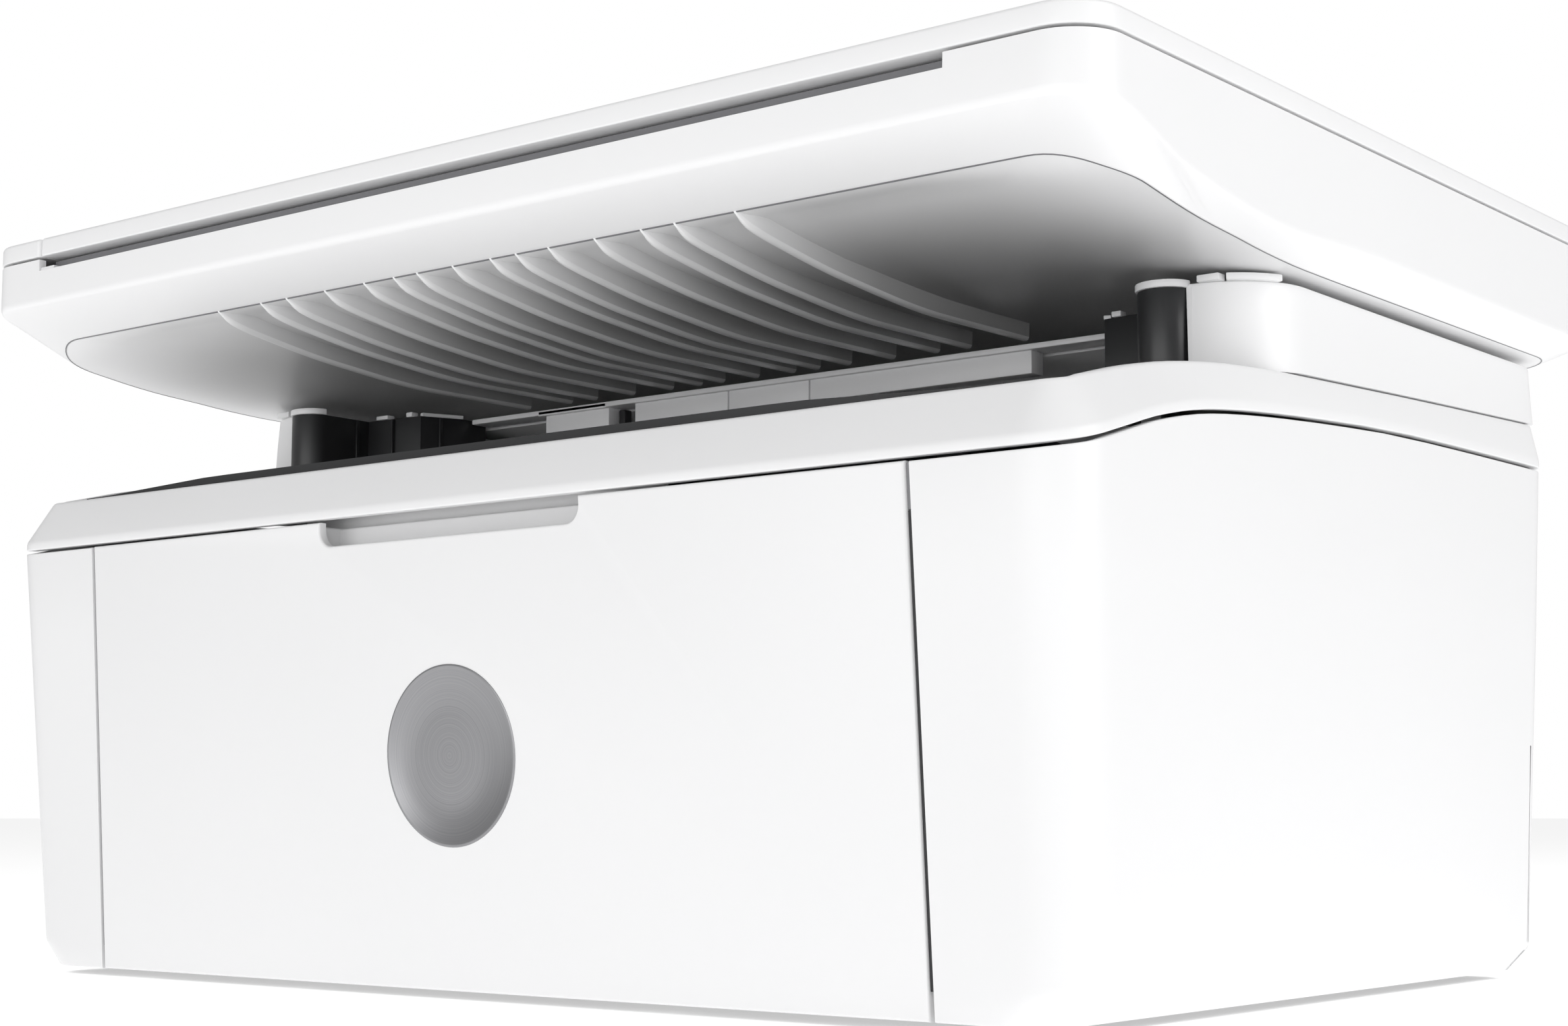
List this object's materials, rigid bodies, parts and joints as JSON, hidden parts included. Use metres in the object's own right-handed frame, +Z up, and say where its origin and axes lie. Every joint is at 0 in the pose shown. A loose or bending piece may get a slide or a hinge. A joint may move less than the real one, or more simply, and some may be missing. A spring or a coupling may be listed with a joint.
{
  "type": "laser multifunction printer",
  "caption": "Compact white desktop laser printer with a flatbed scanner unit hinged over the output bin, front input tray door and charcoal interior.",
  "frame": {"origin": "on the ground under the centre of the scanner unit's footprint", "axes": "+X to the right seen from the front, +Y towards the back, +Z up"},
  "size_m": [0.36, 0.264, 0.199],
  "materials": {
    "base_pan": "satin",
    "cancel_button": "satin",
    "center_top_cover": "gloss",
    "control_panel": "gloss",
    "copies_button": "satin",
    "display_window": "gloss",
    "door_handle_pocket": "satin",
    "drive_gear": "satin",
    "exit_guide": "satin",
    "exit_idler_gear": "satin",
    "exit_roller": "matte",
    "exit_sensor_flag": "satin",
    "feed_roller": "matte",
    "foot_front_left": "matte",
    "foot_front_right": "matte",
    "foot_rear_left": "matte",
    "foot_rear_right": "matte",
    "front_door": "gloss",
    "fuser_frame": "satin",
    "guide_rod": "satin",
    "heat_roller": "satin",
    "laser_unit": "satin",
    "left_frame_plate": "satin",
    "left_pillar_cover": "gloss",
    "left_pillar_liner": "satin",
    "left_side_cover": "gloss",
    "lid_hinges": "satin",
    "lid_pad": "matte",
    "lift_plate": "satin",
    "main_board": "satin",
    "main_motor": "satin",
    "motor_pinion": "satin",
    "paper_guide_left": "satin",
    "paper_guide_right": "satin",
    "photo_drum": "gloss",
    "pickup_roller": "matte",
    "polygon_mirror": "polished",
    "power_board": "satin",
    "power_button": "satin",
    "power_inlet": "satin",
    "pressure_roller": "matte",
    "rear_cover": "gloss",
    "right_frame_plate": "satin",
    "right_pillar_cover": "gloss",
    "right_pillar_liner": "satin",
    "right_side_cover": "gloss",
    "scan_carriage": "satin",
    "scan_glass": "polished",
    "scanner_base": "gloss",
    "scanner_hinges": "satin",
    "scanner_lid": "gloss",
    "scanner_top_frame": "satin",
    "separation_pad": "matte",
    "start_button": "satin",
    "toner_access_door": "satin",
    "toner_cartridge": "satin",
    "top_cover_rim": "gloss",
    "transfer_roller": "matte",
    "usb_port": "satin",
    "wireless_button": "satin"
  },
  "bodies": {
    "chassis": {"base_pan": "base_pan", "center_top_cover": "center_top_cover", "exit_guide": "exit_guide", "foot_front_left": "foot_front_left", "foot_front_right": "foot_front_right", "foot_rear_left": "foot_rear_left", "foot_rear_right": "foot_rear_right", "fuser_frame": "fuser_frame", "laser_unit": "laser_unit", "left_frame_plate": "left_frame_plate", "left_pillar_cover": "left_pillar_cover", "left_pillar_liner": "left_pillar_liner", "left_side_cover": "left_side_cover", "main_board": "main_board", "main_motor": "main_motor", "power_board": "power_board", "power_inlet": "power_inlet", "rear_cover": "rear_cover", "right_frame_plate": "right_frame_plate", "right_pillar_cover": "right_pillar_cover", "right_pillar_liner": "right_pillar_liner", "right_side_cover": "right_side_cover", "separation_pad": "separation_pad", "toner_cartridge": "toner_cartridge", "top_cover_rim": "top_cover_rim", "usb_port": "usb_port"},
    "front_door": {"front_door": "front_door", "door_handle_pocket": "door_handle_pocket"},
    "toner_door": {"toner_access_door": "toner_access_door"},
    "scanner_unit": {"scanner_base": "scanner_base", "scanner_top_frame": "scanner_top_frame", "scan_glass": "scan_glass", "guide_rod": "guide_rod", "control_panel": "control_panel", "display_window": "display_window", "lid_hinges": "lid_hinges", "scanner_hinges": "scanner_hinges"},
    "lid": {"scanner_lid": "scanner_lid", "lid_pad": "lid_pad"},
    "carriage": {"scan_carriage": "scan_carriage"},
    "guide_left": {"paper_guide_left": "paper_guide_left"},
    "guide_right": {"paper_guide_right": "paper_guide_right"},
    "lift_plate": {"lift_plate": "lift_plate"},
    "exit_flag": {"exit_sensor_flag": "exit_sensor_flag"},
    "drive_gear": {"drive_gear": "drive_gear"},
    "motor_pinion": {"motor_pinion": "motor_pinion"},
    "exit_idler": {"exit_idler_gear": "exit_idler_gear"},
    "drum": {"photo_drum": "photo_drum"},
    "transfer_roller": {"transfer_roller": "transfer_roller"},
    "feed_roller": {"feed_roller": "feed_roller"},
    "pickup_roller": {"pickup_roller": "pickup_roller"},
    "heat_roller": {"heat_roller": "heat_roller"},
    "pressure_roller": {"pressure_roller": "pressure_roller"},
    "exit_roller": {"exit_roller": "exit_roller"},
    "polygon_mirror": {"polygon_mirror": "polygon_mirror"},
    "power_button": {"power_button": "power_button"},
    "wireless_button": {"wireless_button": "wireless_button"},
    "cancel_button": {"cancel_button": "cancel_button"},
    "copies_button": {"copies_button": "copies_button"},
    "start_button": {"start_button": "start_button"}
  },
  "joints": [
    {"name": "front_door_hinge", "type": "hinge", "parent": "chassis", "child": "front_door", "pos_m": [0, -0.1135, 0.0085], "axis": [1, 0, 0], "range_deg": [0, 86]},
    {"name": "scanner_unit_hinge", "type": "hinge", "parent": "chassis", "child": "scanner_unit", "pos_m": [0, 0.108, 0.158], "axis": [-1, 0, 0], "range_deg": [0, 38]},
    {"name": "toner_door_hinge", "type": "hinge", "parent": "chassis", "child": "toner_door", "pos_m": [0, -0.013, 0.1246], "axis": [-1, 0, 0], "range_deg": [0, 57]},
    {"name": "lid_hinge", "type": "hinge", "parent": "scanner_unit", "child": "lid", "pos_m": [0, 0.1295, 0.194], "axis": [-1, 0, 0], "range_deg": [0, 82]},
    {"name": "carriage_slide", "type": "slide", "parent": "scanner_unit", "child": "carriage", "axis": [1, 0, 0], "range_m": [0, 0.27]},
    {"name": "guide_left_slide", "type": "slide", "parent": "chassis", "child": "guide_left", "axis": [1, 0, 0], "range_m": [0, 0.05]},
    {"name": "guide_right_slide", "type": "slide", "parent": "chassis", "child": "guide_right", "axis": [1, 0, 0], "range_m": [-0.05, 0]},
    {"name": "lift_plate_hinge", "type": "hinge", "parent": "chassis", "child": "lift_plate", "pos_m": [0, -0.072, 0.009], "axis": [1, 0, 0], "range_deg": [-7.5, 0], "stiffness_Nm_per_rad": 0.6, "springref_deg": 17.19},
    {"name": "exit_flag_hinge", "type": "hinge", "parent": "chassis", "child": "exit_flag", "pos_m": [-0.0534, -0.0045, 0.1565], "axis": [-1, 0, 0], "range_deg": [0, 28]},
    {"name": "drive_gear_spin", "type": "hinge", "parent": "chassis", "child": "drive_gear", "pos_m": [0.126, 0.04, 0.058], "axis": [1, 0, 0], "continuous": true},
    {"name": "motor_pinion_spin", "type": "hinge", "parent": "chassis", "child": "motor_pinion", "pos_m": [0.126, 0.06298, 0.03872], "axis": [1, 0, 0], "continuous": true},
    {"name": "drum_spin", "type": "hinge", "parent": "chassis", "child": "drum", "pos_m": [0, 0.00241, 0.07168], "axis": [1, 0, 0], "continuous": true},
    {"name": "transfer_roller_spin", "type": "hinge", "parent": "chassis", "child": "transfer_roller", "pos_m": [0, 0.00241, 0.05328], "axis": [1, 0, 0], "continuous": true},
    {"name": "feed_roller_spin", "type": "hinge", "parent": "chassis", "child": "feed_roller", "pos_m": [0, 0.00723, 0.03506], "axis": [1, 0, 0], "continuous": true},
    {"name": "pickup_roller_spin", "type": "hinge", "parent": "chassis", "child": "pickup_roller", "pos_m": [0, -0.02428, 0.0295], "axis": [1, 0, 0], "continuous": true},
    {"name": "heat_roller_spin", "type": "hinge", "parent": "chassis", "child": "heat_roller", "pos_m": [0, 0.0569, 0.09425], "axis": [1, 0, 0], "continuous": true},
    {"name": "pressure_roller_spin", "type": "hinge", "parent": "chassis", "child": "pressure_roller", "pos_m": [0, 0.0666, 0.07745], "axis": [1, 0, 0], "continuous": true},
    {"name": "exit_idler_spin", "type": "hinge", "parent": "chassis", "child": "exit_idler", "pos_m": [0.126, 0.03354, 0.12672], "axis": [1, 0, 0], "continuous": true},
    {"name": "exit_roller_spin", "type": "hinge", "parent": "chassis", "child": "exit_roller", "pos_m": [0, 0.008, 0.146], "axis": [1, 0, 0], "continuous": true},
    {"name": "polygon_mirror_spin", "type": "hinge", "parent": "chassis", "child": "polygon_mirror", "pos_m": [0, -0.084, 0.079], "axis": [0, 0, 1], "continuous": true},
    {"name": "power_button_press", "type": "slide", "parent": "scanner_unit", "child": "power_button", "axis": [0, 0, -1], "range_m": [0, 0.0009], "stiffness_N_per_m": 400, "springref_m": -0.001},
    {"name": "wireless_button_press", "type": "slide", "parent": "scanner_unit", "child": "wireless_button", "axis": [0, 0, -1], "range_m": [0, 0.0009], "stiffness_N_per_m": 400, "springref_m": -0.001},
    {"name": "cancel_button_press", "type": "slide", "parent": "scanner_unit", "child": "cancel_button", "axis": [0, 0, -1], "range_m": [0, 0.0009], "stiffness_N_per_m": 400, "springref_m": -0.001},
    {"name": "copies_button_press", "type": "slide", "parent": "scanner_unit", "child": "copies_button", "axis": [0, 0, -1], "range_m": [0, 0.0009], "stiffness_N_per_m": 400, "springref_m": -0.001},
    {"name": "start_button_press", "type": "slide", "parent": "scanner_unit", "child": "start_button", "axis": [0, 0, -1], "range_m": [0, 0.0009], "stiffness_N_per_m": 400, "springref_m": -0.001}
  ],
  "couplings": [
    {"joint": "toner_door_hinge", "follows": "scanner_unit_hinge", "ratio": 1.5},
    {"joint": "guide_right_slide", "follows": "guide_left_slide", "ratio": -1},
    {"joint": "motor_pinion_spin", "follows": "drive_gear_spin", "ratio": -4},
    {"joint": "drum_spin", "follows": "drive_gear_spin", "ratio": -1.5},
    {"joint": "transfer_roller_spin", "follows": "drive_gear_spin", "ratio": 3},
    {"joint": "feed_roller_spin", "follows": "drive_gear_spin", "ratio": -1.5},
    {"joint": "pickup_roller_spin", "follows": "drive_gear_spin", "ratio": 1.5},
    {"joint": "heat_roller_spin", "follows": "drive_gear_spin", "ratio": -1.5},
    {"joint": "pressure_roller_spin", "follows": "drive_gear_spin", "ratio": 1.35},
    {"joint": "exit_idler_spin", "follows": "drive_gear_spin", "ratio": 1},
    {"joint": "exit_roller_spin", "follows": "drive_gear_spin", "ratio": -3}
  ]
}
